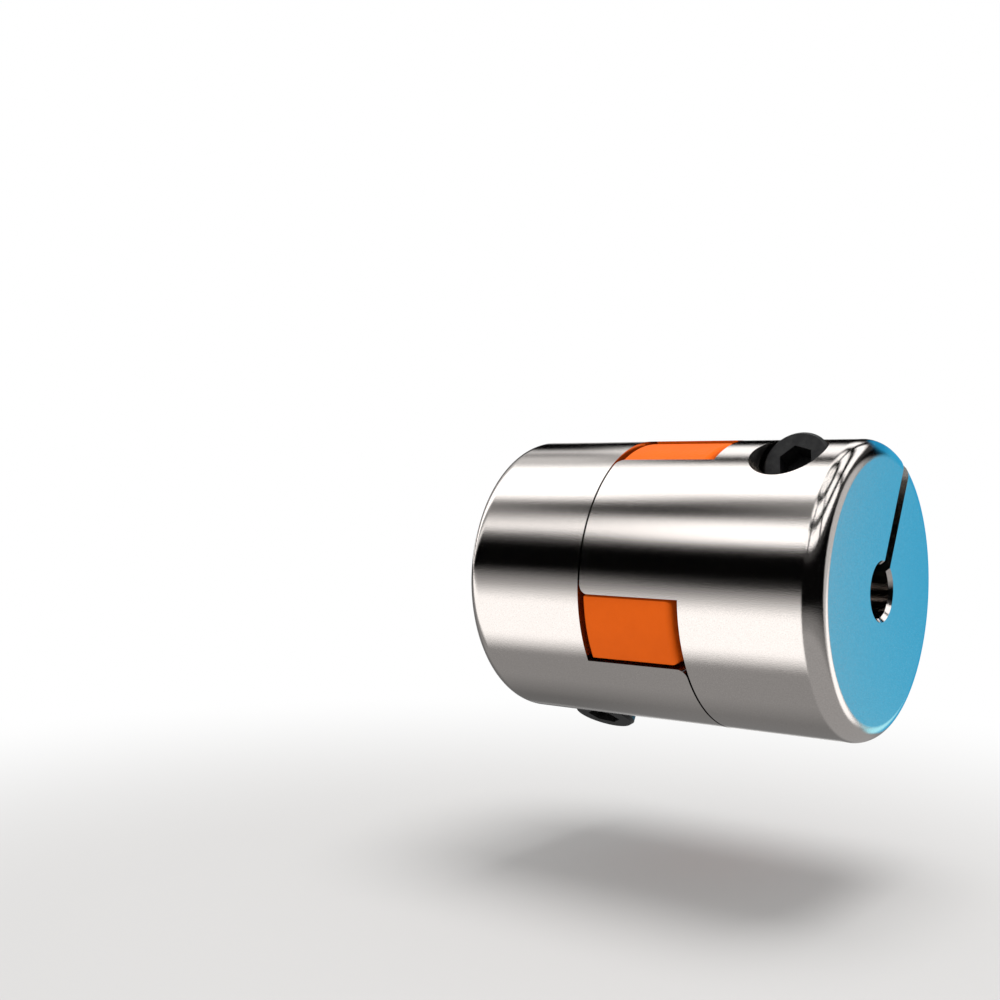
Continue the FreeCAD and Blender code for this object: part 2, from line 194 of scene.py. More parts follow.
@dataclass(frozen=True)
class Steel:
    """Bare steel: how it was worked shows in its grain, which drives colour, roughness and bump.

    Attributes:
        name: The material's name.
        colours: Its colour in the low and the high places of the grain.
        limits: Where in the grain the run of colours starts and ends.
        roughness: Its middle roughness.
        spread: How far the roughness goes to both sides.
        grain: The distance from one mark to the next.
        detail: How many finer layers the marks have.
        bump: How much the marks tilt the surface.
    """

    name: str
    colours: tuple[str, str]
    limits: tuple[float, float]
    roughness: float
    spread: float
    grain: float
    detail: float
    bump: float

    @classmethod
    def ground(cls) -> "Steel":
        """Turned and then fine ground: a clear mirror image with a faint satin grain.

        The real grain is under 0.05 mm and is drawn as coarse as it needs to show.

        Returns:
            The finish of the hubs' outside and bores.
        """
        return cls(
            name="ground_steel",
            colours=("#E4DDD8", "#F4EDE8"),
            limits=(0.3, 0.7),
            roughness=0.09,
            spread=0.03,
            grain=0.2 * MM,
            detail=3.0,
            bump=0.06,
        )

    @classmethod
    def milled_and_shaded(cls) -> "Steel":
        """As the cutter leaves it: fine tool marks, a little duller than ground steel, and a little
        darker as painted shade.

        Returns:
            The finish between the claws and in the screws' holes.
        """
        return cls(
            name="milled_steel_painted_shade",
            # Darker than ground steel's colours: painted shade for the gaps between the claws and
            # the screws' holes.
            colours=("#D2CCC7", "#E2DCD7"),
            limits=(0.3, 0.6),
            roughness=0.12,
            spread=0.04,
            grain=0.4 * MM,
            detail=4.0,
            bump=0.08,
        )

    @classmethod
    def sawn_and_shaded(cls) -> "Steel":
        """As the slitting saw leaves it: duller again, and darker as painted shade in the slit.

        Returns:
            The finish of the slits.
        """
        return cls(
            name="sawn_steel_painted_shade",
            # Much darker than ground steel's colours: painted shade for the deep, narrow slits.
            colours=("#B4AFAA", "#C4BFBA"),
            limits=(0.3, 0.6),
            roughness=0.16,
            spread=0.04,
            grain=0.4 * MM,
            detail=4.0,
            bump=0.08,
        )

    def make(self) -> bpy.types.Material:
        """Build the material.

        Returns:
            The material.
        """
        maker = MaterialMaker(self.name)
        grain = maker.grain(self.grain, self.detail)
        return maker.finish(
            {
                "Base Color": maker.shade(grain, self.colours, self.limits),
                "Metallic": 1.0,
                "Roughness": maker.vary(grain, self.roughness, self.spread),
                "Normal": maker.bump(grain, self.bump, self.grain),
            }
        )


@dataclass(frozen=True)
class CastPolyurethane:
    """Elastomer cast in a mould: an even orange with a silky sheen and the mould's fine pebble.

    The real pebble is about 0.1 mm and is drawn as coarse as it needs to show.

    Attributes:
        colours: Its orange in the low and the high places of the mottle.
        limits: Where in the mottle the run of colours starts and ends.
        roughness: Its middle roughness.
        spread: How far the roughness goes to both sides.
        specular: Its gloss, which a film of mould release dulls.
        ior: Its index of refraction.
        pebble: The distance from one pebble to the next.
        mottle: The size of the faint clouds in the orange.
        detail: How many finer layers the clouds have.
        bump: How much the pebble tilts the surface.
    """

    colours: tuple[str, str] = ("#F46713", "#F96A14")
    limits: tuple[float, float] = (0.35, 0.65)
    roughness: float = 0.45
    spread: float = 0.05
    specular: float = 0.08
    ior: float = 1.5
    pebble: float = 0.5 * MM
    mottle: float = 6 * MM
    detail: float = 4.0
    bump: float = 0.12

    def make(self) -> bpy.types.Material:
        """Build the material.

        Returns:
            The material.
        """
        maker = MaterialMaker("cast_polyurethane")
        mottle, pebble = maker.grain(self.mottle, self.detail), maker.grain(self.pebble)
        return maker.finish(
            {
                "Base Color": maker.shade(mottle, self.colours, self.limits),
                "Roughness": maker.vary(pebble, self.roughness, self.spread),
                "IOR": self.ior,
                "Specular IOR Level": self.specular,
                "Normal": maker.bump(pebble, self.bump, self.pebble),
            }
        )


@dataclass(frozen=True)
class BlackOxide:
    """Alloy steel, hot blackened and oiled: a deep grey black that still shines on its edges.

    Attributes:
        colours: Its black in the low and the high places of the bloom.
        limits: Where in the bloom the run of colours starts and ends.
        metallic: How much of the metal shows through the oxide.
        roughness: Its middle roughness.
        spread: How far the roughness goes to both sides.
        bloom: The size of the faint clouds that the oil leaves.
        detail: How many finer layers the clouds have.
        scale: The grain of the oxide, drawn as coarse as it needs to show.
        bump: How much the grain tilts the surface.
    """

    colours: tuple[str, str] = ("#2B2B2C", "#3A3A3A")
    limits: tuple[float, float] = (0.4, 0.75)
    metallic: float = 0.7
    roughness: float = 0.38
    spread: float = 0.05
    bloom: float = 1.5 * MM
    detail: float = 5.0
    scale: float = 0.3 * MM
    bump: float = 0.05

    def make(self) -> bpy.types.Material:
        """Build the material.

        Returns:
            The material.
        """
        maker = MaterialMaker("black_oxide_steel")
        bloom, scale = maker.grain(self.bloom, self.detail), maker.grain(self.scale)
        return maker.finish(
            {
                "Base Color": maker.shade(bloom, self.colours, self.limits),
                "Metallic": self.metallic,
                "Roughness": maker.vary(bloom, self.roughness, self.spread),
                "Normal": maker.bump(scale, self.bump, self.scale),
            }
        )


@dataclass(frozen=True)
class StudioPanel:
    """One even stretch of the studio that the metal mirrors.

    Attributes:
        name: What stands there.
        start: Where it starts, in degrees; 0 is level and 90 is overhead.
        end: Where it ends.
        level: How bright it is, where 1 is white paper in full light.
    """

    name: str
    start: float
    end: float
    level: float


@dataclass(frozen=True)
class StudioCard:
    """A round card that hangs in the studio, where only the end face and its rounding mirror it.

    Attributes:
        name: What it is.
        heading: Its direction from the coupling, in degrees: 0 is in front, 90 past the driven end.
        rise: How far it hangs above the level, in degrees.
        reach: How far it reaches from its middle, in degrees.
        softness: How wide its soft edge is, in degrees.
        colour: Its linear colour.
    """

    name: str
    heading: float
    rise: float
    reach: float
    softness: float
    colour: Colour

    def direction(self) -> Vector:
        """Work out where its middle is.

        Returns:
            The direction from the coupling.
        """
        heading, rise = math.radians(self.heading), math.radians(self.rise)
        level = math.cos(rise)
        return Vector((math.sin(heading) * level, -math.cos(heading) * level, math.sin(rise)))


@dataclass(frozen=True)
class Studio:
    """The plain studio: what its metal mirrors, soft all-round light, floor and camera.

    Attributes:
        front_panels: What the driven hub's round mirrors, by angle round the shafts.
        side_panels: What the driving hub's round mirrors, by angle round the shafts.
        front_starts: Between which X shares of a direction the side turns into the front.
        end_panels: What stands past the driven end, by angle above the level.
        end_starts: Between which X shares of a direction the front turns into the end.
        cards: What the end face and its rounding mirror.
        pane: A window pane's width and height, in degrees.
        pane_lift: How far the rows of panes move, so that no bar rings the zenith.
        glazing_bar: A glazing bar's width, in degrees.
        bar_softness: How soft a glazing bar's edge is, from 0 to 1.
        window_foot: Between which angles above the level the bars set in.
        sky_level: How bright the light on matt surfaces is from above.
        ground_level: The same from below.
        sky_reach: At which Z share of a direction both levels are reached.
        lamp_place: Where the key lamp hangs.
        lamp_aim: What it points at.
        lamp_size: Its diameter.
        lamp_power: Its watts.
        floor_height: Where the floor is.
        floor_size: The floor's length and width.
        floor_colour: The floor's sRGB colour.
        floor_middle: The X and Y of its middle.
        floor_fades: Between which distances from its middle it fades to white.
        sensor: The camera's sensor width in millimetres.
        lens: Its focal length in millimetres.
        camera_place: Where it stands.
        camera_tilt: How far it looks down, in degrees.
        camera_turn: How far it is turned from looking along Y, in degrees.
    """

    front_panels: tuple[StudioPanel, ...] = (
        StudioPanel("far floor", -180, -163, 1.2),
        StudioPanel("shaded floor behind", -151, -120, 0.195),
        StudioPanel("floor below", -95, -62, 0.28),
        StudioPanel("lit floor in front", -48, -19, 1.22),
        StudioPanel("dim horizon", -5, -4, 0.36),
        StudioPanel("foot of the black flag", 3, 4, 0.03),
        StudioPanel("black flag in front", 9, 28.5, 0.001),
        StudioPanel("edge of the black flag", 32, 33, 0.16),
        StudioPanel("strip light in front", 38.5, 50, 1.45),
        StudioPanel("ceiling in front", 57.5, 71.5, 0.25),
        StudioPanel("overhead softbox", 80.5, 108, 1.6),
        StudioPanel("gap behind the softbox", 117.5, 122, 0.01),
        StudioPanel("strip light behind", 130, 142.5, 1.25),
        StudioPanel("black flag behind", 151, 169, 0.002),
        StudioPanel("backdrop", 175, 180, 1.1),
    )
    side_panels: tuple[StudioPanel, ...] = (
        StudioPanel("far floor", -180, -161, 0.09),
        StudioPanel("edge of the far floor", -153, -151, 0.3),
        StudioPanel("shaded floor behind", -146, -125, 0.15),
        StudioPanel("floor below", -95, -66, 0.27),
        StudioPanel("lit floor in front", -51, -19, 1.2),
        StudioPanel("dim horizon", -5, -4, 0.36),
        StudioPanel("black flag in front", 8, 30, 0.001),
        StudioPanel("edge of the black flag", 35.5, 36.5, 0.11),
        StudioPanel("strip light in front", 44, 46, 1.05),
        StudioPanel("ceiling in front", 57, 67, 0.27),
        StudioPanel("overhead softbox", 76, 106, 1.6),
        StudioPanel("ceiling behind", 113, 124, 0.62),
        StudioPanel("beam behind", 128.5, 130, 0.22),
        StudioPanel("strip light behind", 134.5, 137, 0.65),
        StudioPanel("black flag behind", 143, 163, 0.001),
        StudioPanel("backdrop", 172, 180, 1.2),
    )
    front_starts: tuple[float, float] = (-0.55, -0.47)
    end_panels: tuple[StudioPanel, ...] = (
        StudioPanel("floor past the end", -90, -28, 0.34),
        StudioPanel("shaded floor past the end", -20, -17, 0.2),
        StudioPanel("black curtain past the end", -7, 22, 0.002),
        StudioPanel("foot of the window", 27, 28, 0.06),
        StudioPanel("window past the end", 34, 90, 1.3),
    )
    end_starts: tuple[float, float] = (-0.33, -0.16)
    cards: tuple[StudioCard, ...] = (
        StudioCard("white wall", 133, -1, 26, 8, (0.55, 0.55, 0.55, 1.0)),
        StudioCard("lit foot of the white wall", 139, -16, 16, 7, (1.25, 1.25, 1.25, 1.0)),
        StudioCard("night blue wall", 180, 10, 18, 4, linear("#2792C4")),
        StudioCard("blue wall", 172, -6, 19, 3, linear("#63C2E8")),
        StudioCard("deep blue wall", 177, -3, 20.5, 6, linear("#39ABDB")),
        StudioCard("lit foot of the blue wall", 164, -19, 9, 6, (0.45, 1.0, 1.15, 1.0)),
        StudioCard("lamp head above", -52, 50.5, 7.5, 6, (0.05, 0.05, 0.05, 1.0)),
    )
    pane: tuple[float, float] = (60.0, 22.0)
    pane_lift: float = -6.0
    glazing_bar: float = 10.0
    bar_softness: float = 0.3
    window_foot: tuple[float, float] = (26.0, 30.0)
    sky_level: float = 0.8
    ground_level: float = 0.4
    sky_reach: float = 0.6
    lamp_place: tuple[float, float, float] = (0.12, 0.05, 0.75)
    lamp_aim: tuple[float, float, float] = (0.024, 0.0, 0.0)
    lamp_size: float = 0.5
    lamp_power: float = 4.0
    floor_height: float = -58 * MM
    floor_size: float = 8.0
    floor_colour: str = "#CCCBCA"
    floor_middle: tuple[float, float] = (0.02, -0.06)
    floor_fades: tuple[float, float] = (0.08, 0.26)
    sensor: float = 36.0
    lens: float = 48.745
    camera_place: tuple[float, float, float] = (153.15 * MM, -240.24 * MM, 22.72 * MM)
    camera_tilt: float = 1.377
    camera_turn: float = 36.62

    def make_ramp(
        self, tree: Tree, angle: Socket, panels: tuple[StudioPanel, ...]
    ) -> Socket:
        """Turn an angle into the brightness of the panel that stands there.

        Args:
            tree: The world's node tree.
            angle: The angle, in radians.
            panels: The panels, lowest angle first.

        Returns:
            The output that holds the brightness.
        """
        low, high = panels[0].start, panels[-1].end
        place = add_node(
            tree,
            "ShaderNodeMapRange",
            {"Value": angle, "From Min": math.radians(low), "From Max": math.radians(high)},
        ).outputs["Result"]
        ramp = add_node(tree, "ShaderNodeValToRGB", {"Fac": place})
        stops = ramp.color_ramp.elements
        edges = [(edge, panel.level) for panel in panels for edge in (panel.start, panel.end)]
        for number, (edge, level) in enumerate(edges):
            spot = (edge - low) / (high - low)
            stop = stops[number] if number in (0, len(edges) - 1) else stops.new(spot)
            stop.position = spot
            stop.color = (level, level, level, 1.0)
        return ramp.outputs["Color"]

    def fade(self, tree: Tree, value: Socket, ends: tuple[float, float]) -> Socket:
        """Rise smoothly from 0 to 1 while a value passes between two ends."""
        inputs = {"Value": value, "From Min": ends[0], "From Max": ends[1]}
        faded = add_node(tree, "ShaderNodeMapRange", inputs, interpolation_type="SMOOTHSTEP")
        return faded.outputs["Result"]

    def mix(
        self, tree: Tree, share: Socket, one: Socket | Colour, other: Socket | Colour
    ) -> Socket:
        """Mix two colours by the share of the other."""
        inputs = {"Fac": share, "Color1": one, "Color2": other}
        return add_node(tree, "ShaderNodeMixRGB", inputs).outputs["Color"]

    def glaze(self, tree: Tree, front: Socket, past: Socket, rise: Socket) -> Socket:
        """Set glazing bars in the window past the end.

        Args:
            tree: The world's node tree.
            front: How far a direction points to the front.
            past: How far it points past the driven end.
            rise: Its angle above the level, in radians.

        Returns:
            The output that holds the colour of everything past the end.
        """
        heading = work_out(tree, "ARCTAN2", past, front)
        row = work_out(tree, "ADD", rise, math.radians(self.pane_lift))
        spot = add_node(tree, "ShaderNodeCombineXYZ", {"X": heading, "Y": row}).outputs[0]
        width, height = (math.radians(side) for side in self.pane)
        panes = add_node(
            tree,
            "ShaderNodeTexBrick",
            {
                "Vector": spot,
                "Color1": WHITE,
                "Color2": WHITE,
                "Mortar": BLACK,
                "Scale": 1.0,
                "Mortar Size": math.radians(self.glazing_bar) / 2,
                "Mortar Smooth": self.bar_softness,
                "Brick Width": width,
                "Row Height": height,
            },
            offset=0.0,
        ).outputs["Color"]
        above = self.fade(tree, rise, tuple(math.radians(edge) for edge in self.window_foot))
        light = self.make_ramp(tree, rise, self.end_panels)
        inputs = {"Fac": 1.0, "Color1": light, "Color2": self.mix(tree, above, WHITE, panes)}
        return add_node(tree, "ShaderNodeMixRGB", inputs, blend_type="MULTIPLY").outputs["Color"]

    def mirror(self, tree: Tree, direction: Socket) -> Socket:
        """Lay out all that polished metal mirrors.

        Args:
            tree: The world's node tree.
            direction: The direction that the metal looks in.

        Returns:
            The output that holds the colour there.
        """
        axes = add_node(tree, "ShaderNodeSeparateXYZ", {"Vector": direction}).outputs
        front = work_out(tree, "MULTIPLY", axes["Y"], -1.0)
        round_shafts = work_out(tree, "ARCTAN2", axes["Z"], front)
        rise = work_out(tree, "ARCSINE", axes["Z"])
        side = self.make_ramp(tree, round_shafts, self.side_panels)
        front_share = self.fade(tree, axes["X"], self.front_starts)
        ahead = self.make_ramp(tree, round_shafts, self.front_panels)
        end_share = self.fade(tree, axes["X"], self.end_starts)
        end = self.glaze(tree, front, axes["X"], rise)
        mirrored = self.mix(tree, end_share, self.mix(tree, front_share, side, ahead), end)
        for card in self.cards:
            nearness = add_node(
                tree,
                "ShaderNodeVectorMath",
                {0: direction, 1: card.direction()},
                operation="DOT_PRODUCT",
            ).outputs["Value"]
            rim, middle = card.reach, card.reach - card.softness
            edge = math.cos(math.radians(rim)), math.cos(math.radians(middle))
            mirrored = self.mix(tree, self.fade(tree, nearness, edge), mirrored, card.colour)
        return mirrored

    def light_world(self) -> None:
        """Give metal its mirror image, matt surfaces an even sky, and the camera plain white."""
        world = bpy.data.worlds.new("studio")
        bpy.context.scene.world = world
        world.use_nodes = True
        world.cycles.sampling_method = "NONE"
        tree = world.node_tree
        tree.nodes.clear()
        direction = add_node(tree, "ShaderNodeTexCoord").outputs["Generated"]
        height = add_node(tree, "ShaderNodeSeparateXYZ", {"Vector": direction}).outputs["Z"]
        sky = add_node(
            tree,
            "ShaderNodeMapRange",
            {
                "Value": height,
                "From Min": -self.sky_reach,
                "From Max": self.sky_reach,
                "To Min": self.ground_level,
                "To Max": self.sky_level,
            },
        ).outputs["Result"]
        matt, metal, plain = (
            add_node(tree, "ShaderNodeBackground", inputs).outputs[0]
            for inputs in (
                {"Color": WHITE, "Strength": sky},
                {"Color": self.mirror(tree, direction)},
                {"Color": WHITE},
            )
        )
        rays = add_node(tree, "ShaderNodeLightPath").outputs
        surroundings = mix_shaders(tree, rays["Is Glossy Ray"], matt, metal)
        seen = mix_shaders(tree, rays["Is Camera Ray"], surroundings, plain)
        add_node(tree, "ShaderNodeOutputWorld", {"Surface": seen})

    def hang_key_lamp(self) -> None:
        """Hang the soft lamp above the coupling that throws its shadow on the floor."""
        lamp = bpy.data.lights.new("key_lamp", "AREA")
        lamp.shape = "DISK"
        lamp.size = self.lamp_size
        lamp.energy = self.lamp_power
        holder = bpy.data.objects.new("key_lamp", lamp)
        bpy.context.scene.collection.objects.link(holder)
        holder.location = self.lamp_place
        aim = Vector(self.lamp_aim) - holder.location
        holder.rotation_euler = aim.to_track_quat("-Z", "Y").to_euler()
        holder.visible_glossy = False

    def lay_floor(self) -> None:
        """Lay the pale floor that the mounted coupling floats above."""
        bpy.ops.object.select_all(action="DESELECT")
        place = (*self.floor_middle, self.floor_height)
        bpy.ops.mesh.primitive_plane_add(size=self.floor_size, location=place)
        floor = bpy.context.object
        floor.name = "floor"
        maker = MaterialMaker("pale_floor")
        tree = maker.tree
        distance = add_node(
            tree, "ShaderNodeVectorMath", {0: maker.place}, operation="LENGTH"
        ).outputs["Value"]
        faded = self.fade(tree, distance, self.floor_fades)
        colour = linear(self.floor_colour)
        matt = add_node(tree, "ShaderNodeBsdfDiffuse", {"Color": colour}).outputs[0]
        plain = add_node(tree, "ShaderNodeEmission", {"Color": WHITE}).outputs[0]
        surface = mix_shaders(tree, faded, matt, plain)
        add_node(tree, "ShaderNodeOutputMaterial", {"Surface": surface})
        floor.data.materials.append(maker.material)
        floor.visible_glossy = False

    def set_camera(self) -> None:
        """Put the camera at the photograph's place and angle."""
        lens = bpy.data.cameras.new("camera")
        lens.sensor_width = self.sensor
        lens.lens = self.lens
        camera = bpy.data.objects.new("camera", lens)
        bpy.context.scene.collection.objects.link(camera)
        camera.location = self.camera_place
        tilt, turn = math.radians(self.camera_tilt), math.radians(self.camera_turn)
        camera.rotation_euler = (QUARTER_TURN - tilt, 0.0, turn)
        bpy.context.scene.camera = camera

    def build(self) -> None:
        """Set the whole studio up."""
        bpy.context.scene.view_settings.view_transform = "Standard"
        self.light_world()
        self.hang_key_lamp()
        self.lay_floor()
        self.set_camera()


class Joining(Enum):
    """How one solid works on another."""

    CUT = "DIFFERENCE"
    ADD = "UNION"
    KEEP = "INTERSECT"


class Lie(Enum):
    """The axis that a turned solid lies along, as its turn out of the upright."""

    X = (0.0, QUARTER_TURN, 0.0)
    Y = (-QUARTER_TURN, 0.0, 0.0)
    Z = (0.0, 0.0, 0.0)


class Solid:
    """A closed mesh on the bench: it starts as a primitive, and other solids shape it."""

    def __init__(self, finish: bpy.types.Material | None = None) -> None:
        """Take the object that an operator has just made.

        Args:
            finish: Its material, or None for a copy that has one.
        """
        self.item = bpy.context.object
        self.settle(Matrix())
        if finish:
            self.item.data.materials.append(finish)

    @classmethod
    def turned(
        cls,
        start: float,
        end: float,
        radii: tuple[float, float],
        finish: bpy.types.Material,
        lie: Lie = Lie.X,
        centre: tuple[float, float] = (0.0, 0.0),
        sides: int = OUTSIDE_SIDES,
    ) -> "Solid":
        """Turn a bar, a taper or, with few sides, a prism.

        Args:
            start: Where it starts along its axis.
            end: Where it ends.
            radii: Its radius at both places.
            finish: Its material.
            lie: The axis it lies along.
            centre: Where its axis stands, on the two other axes.
            sides: How many sides stand for its round.

        Returns:
            The solid.
        """
        spot = list(centre)
        spot.insert("XYZ".index(lie.name), (start + end) / 2)
        bpy.ops.object.select_all(action="DESELECT")
        bpy.ops.mesh.primitive_cone_add(
            vertices=sides,
            radius1=radii[0],
            radius2=radii[1],
            depth=end - start,
            location=spot,
            rotation=lie.value,
        )
        return cls(finish)

    @classmethod
    def bar(
        cls, start: float, end: float, radius: float, finish: bpy.types.Material, **more: object
    ) -> "Solid":
        """Turn a bar of one radius; the rest is as for turned."""
        return cls.turned(start, end, (radius, radius), finish, **more)

    @classmethod
    def block(cls, low: Vector, high: Vector, finish: bpy.types.Material) -> "Solid":
        """Saw a block.

        Args:
            low: Its corner with the lowest coordinates.
            high: The opposite corner.
            finish: Its material.

        Returns:
            The solid.
        """
        bpy.ops.object.select_all(action="DESELECT")
        bpy.ops.mesh.primitive_cube_add(size=1.0, location=(low + high) / 2, scale=high - low)
        return cls(finish)

    def take(self) -> None:
        """Select it alone and make it the active object."""
        bpy.ops.object.select_all(action="DESELECT")
        self.item.select_set(True)
        bpy.context.view_layer.objects.active = self.item

    def settle(self, place: Matrix) -> None:
        """Move and turn its mesh, so that its object stays at the origin.

        Args:
            place: The move and turn.
        """
        self.take()
        self.item.matrix_world = place @ self.item.matrix_basis
        bpy.ops.object.transform_apply(location=True, rotation=True, scale=True)

    def copy(self, turn: float) -> "Solid":
        """Copy it, turned about the shafts' axis.

        Args:
            turn: The turn in radians.

        Returns:
            The copy, with a mesh of its own.
        """
        self.take()
        bpy.ops.object.duplicate()
        twin = Solid()
        twin.settle(Matrix.Rotation(turn, 4, "X"))
        return twin

    def work(self, how: Joining, tool: "Solid") -> "Solid":
        """Cut, join or crop it with a tool, which is used up and leaves its finish on the cut.

        Args:
            how: What the tool does.
            tool: The other solid.

        Returns:
            This solid.
        """
        self.take()
        modifier = self.item.modifiers.new(how.name, "BOOLEAN")
        modifier.operation = how.value
        modifier.solver = "EXACT"
        modifier.material_mode = "TRANSFER"
        modifier.object = tool.item
        bpy.ops.object.modifier_apply(modifier=modifier.name)
        bpy.data.objects.remove(tool.item)
        return self

    def round_edges(
        self, weigh: Callable[[Vector, Vector], float], width: float, steps: int = 1
    ) -> "Solid":
        """Round or, with one step, chamfer some of its edges.

        Args:
            weigh: From an edge's two ends, the share of the width that it gets, 0 for none.
            width: The radius of a full rounding.
            steps: How many flats stand for it.

        Returns:
            This solid.
        """
        self.take()
        mesh = self.item.data
        weights = mesh.attributes.new("bevel_weight_edge", "FLOAT", "EDGE")
        corners = [vertex.co for vertex in mesh.vertices]
        for edge in mesh.edges:
            weights.data[edge.index].value = weigh(*(corners[number] for number in edge.vertices))
        modifier = self.item.modifiers.new("ROUND", "BEVEL")
        modifier.limit_method = "WEIGHT"
        modifier.width = width
        modifier.segments = steps
        modifier.use_clamp_overlap = False
        bpy.ops.object.modifier_apply(modifier=modifier.name)
        mesh.attributes.remove(mesh.attributes["bevel_weight_edge"])
        return self

    def hand_over(self, name: str, node: str, slot: str) -> None:
        """Clean and shade the finished piece, and let it stand for its CAD node.

        Args:
            name: The piece's name.
            node: The CAD node, which has its body's name too.
            slot: The record's material slot; not used.
        """
        self.take()
        bpy.ops.object.mode_set(mode="EDIT")
        bpy.ops.mesh.select_all(action="SELECT")
        bpy.ops.mesh.remove_doubles(threshold=NEAR / 10)
        bpy.ops.mesh.dissolve_degenerate(threshold=NEAR / 10)
        bpy.ops.object.mode_set(mode="OBJECT")
        bpy.ops.object.shade_smooth_by_angle(angle=math.radians(SHARP_ANGLE))
        modifier = self.item.modifiers.new("SHADE", "WEIGHTED_NORMAL")
        modifier.keep_sharp = True
        bpy.ops.object.modifier_apply(modifier=modifier.name)
        self.item.name = name
        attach(self.item, node)
        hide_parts(node)
        LOG.info("%s: %d faces", name, len(self.item.data.polygons))


@dataclass(frozen=True)
class End:
    """One end of the coupling: its shaft, its clamp and where its hub stands.

    Attributes:
        name: What its nodes' names start with.
        face: Where the hub's outer end face stands along the shafts.
        turns: The turns that take a hub from the bench to its place, as angle and axis.
        bore: The bore's radius.
        seat: How far the screw's seat stands from the plane of the slit.
        screw_length: The screw's length under its head.
        clamp_station: From the hub's end face to the screw.
        clamp_offset: From the shafts' axis to the screw.
    """

    name: str
    face: float
    turns: tuple[tuple[float, str], ...]
    bore: float
    seat: float
    screw_length: float
    clamp_station: float = 13.5 * MM
    clamp_offset: float = 17 * MM

    def place(self) -> Matrix:
        """Work out where its hub stands.

        Returns:
            The move and turn from the bench to the coupling.
        """
        place = Matrix.Translation((self.face, 0.0, 0.0))
        for angle, axis in self.turns:
            place @= Matrix.Rotation(math.radians(angle), 4, axis)
        return place


@dataclass(frozen=True)
class ArmSection:
    """The section of a star arm, which the claws beside it follow at a gap.

    Attributes:
        width: Its thickest part.
        crown_radius: The radius of its crowned flanks.
        crown_station: How far from the shafts' axis it is thickest.
        flank_gap: The gap to a claw's hollow flank.
    """

    width: float = 13.6 * MM
    crown_radius: float = 31.5 * MM
    crown_station: float = 20.5 * MM
    flank_gap: float = 0.7 * MM

    def crown_drop(self) -> float:
        """How far a crowned flank's centre is past the arm's middle line."""
        return self.crown_radius - self.width / 2

    def flank_centre(self) -> tuple[float, float]:
        """Turn a flank's centre by the eighth turn from an arm to the claw beside it.

        Returns:
            Its distances along and across the claw.
        """
        eighth = math.sqrt(0.5)
        along, across = self.crown_station * eighth, self.crown_drop() * eighth
        return across - along, across + along


